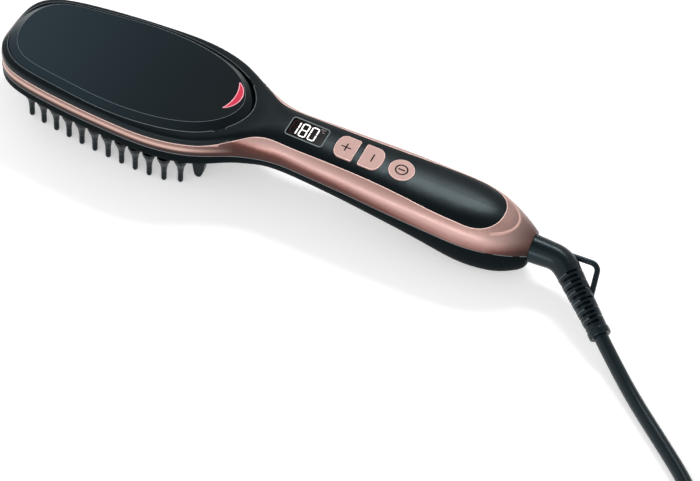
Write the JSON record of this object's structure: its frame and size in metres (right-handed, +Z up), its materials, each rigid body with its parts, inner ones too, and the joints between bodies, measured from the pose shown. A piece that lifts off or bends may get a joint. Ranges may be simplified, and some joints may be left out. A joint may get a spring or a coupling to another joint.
{
  "type": "hair straightening brush",
  "caption": "Heated hair straightening brush: egg-shaped bristled head, slim handle with display and press buttons, and a mains cord on a swivelling elbow.",
  "frame": {"origin": "middle of the brush's length and width, on the surface it lies on, measured without the cord", "axes": "+X from the head's tip to the cord end of the handle, +Z up through the head's panel, +Y to the right when looking down with the head away from the viewer's left hand side"},
  "size_m": [0.519, 0.1915, 0.0409],
  "materials": {
    "black_satin": "satin",
    "rose_gold": "metallic lacquer, satin",
    "black_gloss": "high gloss",
    "red_lens": "translucent red",
    "clear_guide": "clear moulding",
    "black_bristle": "satin nylon",
    "heated_metal": "ceramic coated die casting",
    "heater_foil": "foil wrapped",
    "insulation": "mica sheet",
    "spring_steel": "bright",
    "fuse_metal": "tinned",
    "sensor_epoxy": "epoxy",
    "display_black": "tinted window",
    "white_plastic": "moulded",
    "black_plastic": "moulded",
    "board_green": "solder resist",
    "switch_metal": "tinned",
    "capacitor_yellow": "moulded box",
    "choke_ferrite": "ferrite",
    "contact_brass": "bright",
    "black_rubber": "satin",
    "lead_silicone": "silicone",
    "lead_blue": "insulated wire",
    "cord_black": "satin",
    "tie_black": "flat strap",
    "plug_nickel": "nickel plated"
  },
  "bodies": {
    "handle": {"top_housing": "black_satin", "trim_band": "rose_gold", "lower_shell": "black_satin", "head_panel": "black_gloss", "crescent_lens": "red_lens", "light_guide": "clear_guide", "bristle_frame": "black_bristle", "heater_plate": "heated_metal", "tooth_tips": "black_bristle", "ptc_heaters": "heater_foil", "insulation_sheet": "insulation", "heater_clamp": "spring_steel", "thermal_fuse": "fuse_metal", "temperature_sensor": "sensor_epoxy", "display_window": "display_black", "display_module": "white_plastic", "control_board": "board_green", "tact_switches": "switch_metal", "power_board": "board_green", "filter_capacitor": "capacitor_yellow", "choke": "choke_ferrite", "triac": "black_plastic", "swivel_bush": "white_plastic", "contact_springs": "contact_brass", "contact_block": "white_plastic", "housing_screws": "spring_steel", "heater_leads": "lead_silicone", "mains_leads": "lead_blue"},
    "plus_button": {"plus_button": "rose_gold", "plus_plunger": "black_plastic"},
    "minus_button": {"minus_button": "rose_gold", "minus_plunger": "black_plastic"},
    "power_button": {"power_button": "rose_gold", "power_plunger": "black_plastic"},
    "swivel": {"swivel_hub": "black_plastic", "contact_rings": "contact_brass", "swivel_elbow": "black_rubber", "strain_relief": "black_rubber", "hanging_loop": "black_rubber", "cord_lead": "cord_black", "cord_coil": "cord_black", "cord_tail": "cord_black", "cord_tie": "tie_black", "plug_body": "black_rubber", "plug_pins": "plug_nickel"}
  },
  "joints": [
    {"name": "plus_press", "type": "slide", "parent": "handle", "child": "plus_button", "axis": [-0.0366, 0, -0.9993], "range_m": [0, 0.0005], "stiffness_N_per_m": 1200, "springref_m": -0.0005},
    {"name": "minus_press", "type": "slide", "parent": "handle", "child": "minus_button", "axis": [-0.0366, 0, -0.9993], "range_m": [0, 0.0005], "stiffness_N_per_m": 1200, "springref_m": -0.0005},
    {"name": "power_press", "type": "slide", "parent": "handle", "child": "power_button", "axis": [-0.0366, 0, -0.9993], "range_m": [0, 0.0005], "stiffness_N_per_m": 1200, "springref_m": -0.0005},
    {"name": "cord_swivel", "type": "hinge", "parent": "handle", "child": "swivel", "pos_m": [0.1405, 0, 0.0185], "axis": [1, 0, 0], "continuous": true}
  ]
}
